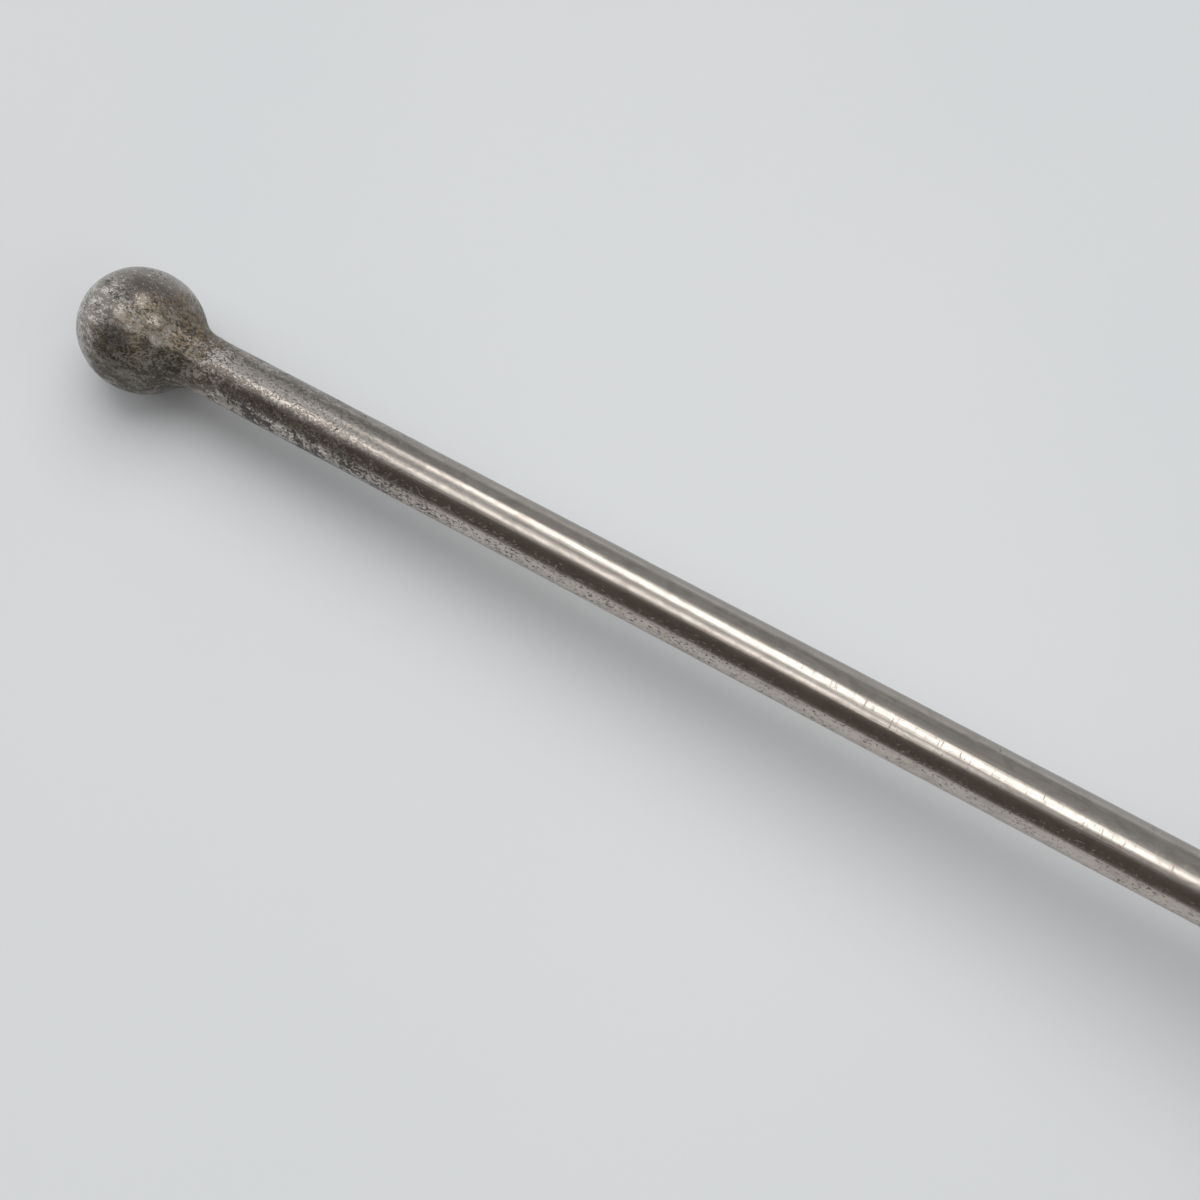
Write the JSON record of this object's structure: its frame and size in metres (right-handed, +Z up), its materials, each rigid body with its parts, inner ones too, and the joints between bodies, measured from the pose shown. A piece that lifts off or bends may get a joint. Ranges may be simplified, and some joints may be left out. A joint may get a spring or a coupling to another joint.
{
  "type": "inoculating loop",
  "caption": "Laboratory inoculating loop: ball-ended metal handle, insulated grip with hexagonal guard, and a collet chuck holding a wire with a round eye.",
  "frame": {"origin": "on the bench, under the middle of the bounding box", "axes": "+X from the ball towards the wire loop, along the bench; +Z up. The tool lies on its ball and on the hand guard's lower edge, so its own axis rises by about 3 degrees along +X"},
  "size_m": [0.2438, 0.0264, 0.0235],
  "materials": {
    "worn_nickel": "satin",
    "plating": "polished",
    "brazing": "matte",
    "brass": "satin",
    "ebonite": "satin",
    "fibre": "matte",
    "nichrome": "satin"
  },
  "bodies": {
    "handle": {"ball_knob": "worn_nickel", "braze_fillet": "brazing", "handle_rod": "worn_nickel", "rear_ferrule": "plating", "insulating_grip": "ebonite", "front_ferrule": "plating", "rear_grip_pin": "brass", "front_grip_pin": "brass", "hand_guard": "ebonite", "guard_washer": "fibre", "guard_lock_nut": "plating", "shank": "plating", "chuck_body": "plating"},
    "collet": {"collet_base": "brass"},
    "nut": {"chuck_nut": "plating"},
    "wire": {"wire_loop": "nichrome"},
    "jaw_1": {"collet_jaw_1": "brass"},
    "jaw_2": {"collet_jaw_2": "brass"},
    "jaw_3": {"collet_jaw_3": "brass"},
    "jaw_4": {"collet_jaw_4": "brass"}
  },
  "joints": [
    {"name": "collet_travel", "type": "slide", "parent": "handle", "child": "collet", "axis": [0.9987, 0, 0.0516], "range_m": [0, 0.00112]},
    {"name": "nut_spin", "type": "hinge", "parent": "collet", "child": "nut", "pos_m": [0.05635, 0, 0.01349], "axis": [0.9987, 0, 0.0516], "range_deg": [0, 540]},
    {"name": "wire_slide", "type": "slide", "parent": "collet", "child": "wire", "axis": [0.9987, 0, 0.0516], "range_m": [0, 0.0075]},
    {"name": "jaw_1_open", "type": "hinge", "parent": "collet", "child": "jaw_1", "pos_m": [0.0521, 0.00103, 0.01429], "axis": [-0.0365, -0.7071, 0.7062], "range_deg": [0, 1.5]},
    {"name": "jaw_2_open", "type": "hinge", "parent": "collet", "child": "jaw_2", "pos_m": [0.0521, -0.00103, 0.01429], "axis": [0.0365, -0.7071, -0.7062], "range_deg": [0, 1.5]},
    {"name": "jaw_3_open", "type": "hinge", "parent": "collet", "child": "jaw_3", "pos_m": [0.05221, -0.00103, 0.01225], "axis": [0.0365, 0.7071, -0.7062], "range_deg": [0, 1.5]},
    {"name": "jaw_4_open", "type": "hinge", "parent": "collet", "child": "jaw_4", "pos_m": [0.05221, 0.00103, 0.01225], "axis": [-0.0365, 0.7071, 0.7062], "range_deg": [0, 1.5]}
  ],
  "couplings": [
    {"joint": "collet_travel", "follows": "nut_spin", "m_per_rad": 0.00011937},
    {"joint": "jaw_1_open", "follows": "nut_spin", "ratio": 0.0027778},
    {"joint": "jaw_2_open", "follows": "nut_spin", "ratio": 0.0027778},
    {"joint": "jaw_3_open", "follows": "nut_spin", "ratio": 0.0027778},
    {"joint": "jaw_4_open", "follows": "nut_spin", "ratio": 0.0027778}
  ]
}
